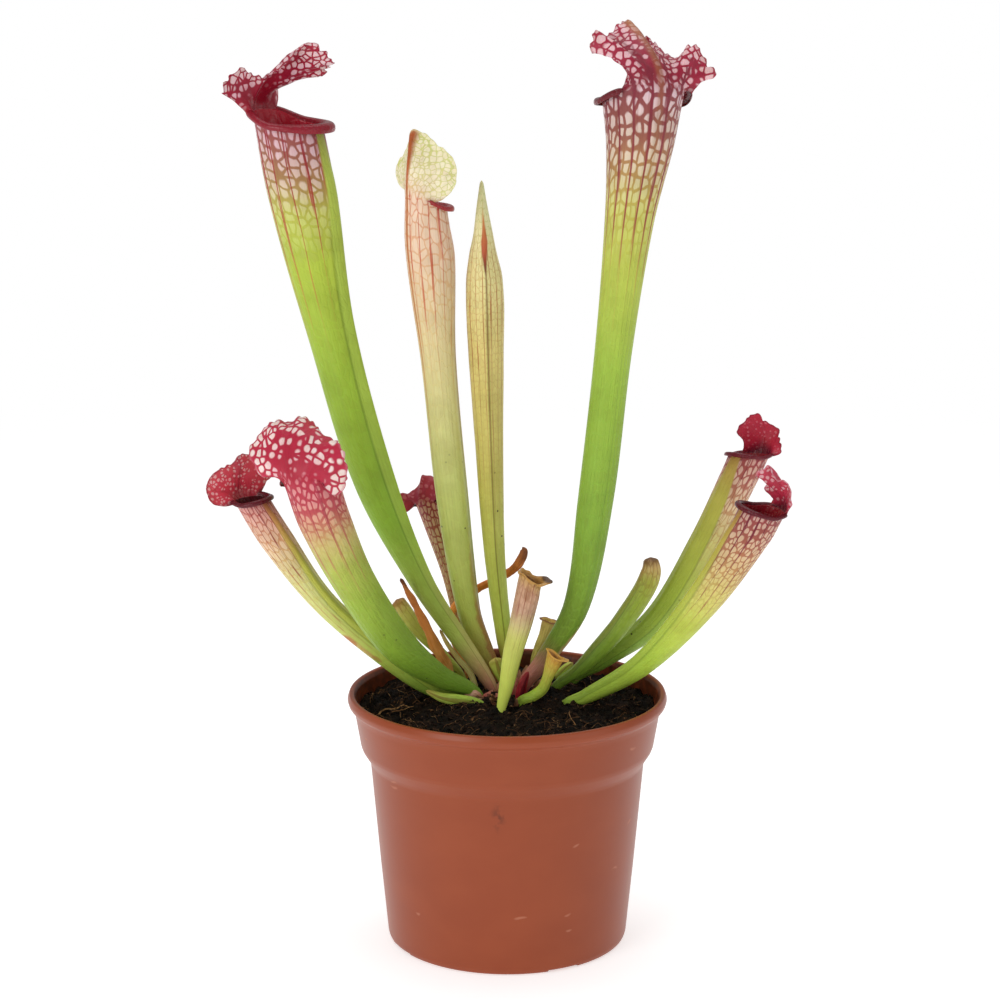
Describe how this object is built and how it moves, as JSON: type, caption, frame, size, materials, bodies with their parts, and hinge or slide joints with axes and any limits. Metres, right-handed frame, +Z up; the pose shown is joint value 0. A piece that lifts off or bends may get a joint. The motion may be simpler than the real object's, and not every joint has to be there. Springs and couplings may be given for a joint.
{
  "type": "potted pitcher plant",
  "caption": "Trumpet pitcher plant with tall and leaning hooded tube leaves and dried leaf ends, standing in peat in a round plastic nursery pot.",
  "frame": {"origin": "middle of the pot's foot, on its middle pad, in the plane of the surface that the pot stands on", "axes": "+Z up along the pot's axis, +X to the right and +Y away from the eye in the view that the picture shows"},
  "size_m": [0.2182, 0.1238, 0.3452],
  "materials": {
    "leaf_green": "fresh green leaf, slightly waxy",
    "leaf_pale": "pale yellow-green leaf with red veins",
    "leaf_red": "crimson leaf with pale spots and veins",
    "leaf_dried": "dry brown leaf, matte",
    "rootstock": "matte brown rootstock",
    "soil": "matte dark peat",
    "pot": "satin terracotta-coloured plastic"
  },
  "bodies": {
    "root": {"pitcher_tall_left": "leaf_green", "pitcher_tall_right": "leaf_green", "leaf_cut_right": "leaf_green", "leaf_small_left": "leaf_green", "leaf_bent_front": "leaf_green", "leaf_folded_light": "leaf_green", "leaf_stub_left": "leaf_green", "leaf_stub_right": "leaf_green", "pitcher_pale": "leaf_pale", "pitcher_unopened": "leaf_pale", "pitcher_dried_front": "leaf_pale", "pitcher_front_left": "leaf_red", "pitcher_low_left": "leaf_red", "pitcher_small_back": "leaf_red", "pitcher_upper_right": "leaf_red", "pitcher_lower_right": "leaf_red", "bud_red": "leaf_red", "trumpet_dried_back": "leaf_dried", "leaf_dead_left": "leaf_dried", "stalk_dead_back": "leaf_dried", "sheath_dried_left": "leaf_dried", "rootstock": "rootstock", "soil": "soil", "pot": "pot"}
  },
  "joints": []
}
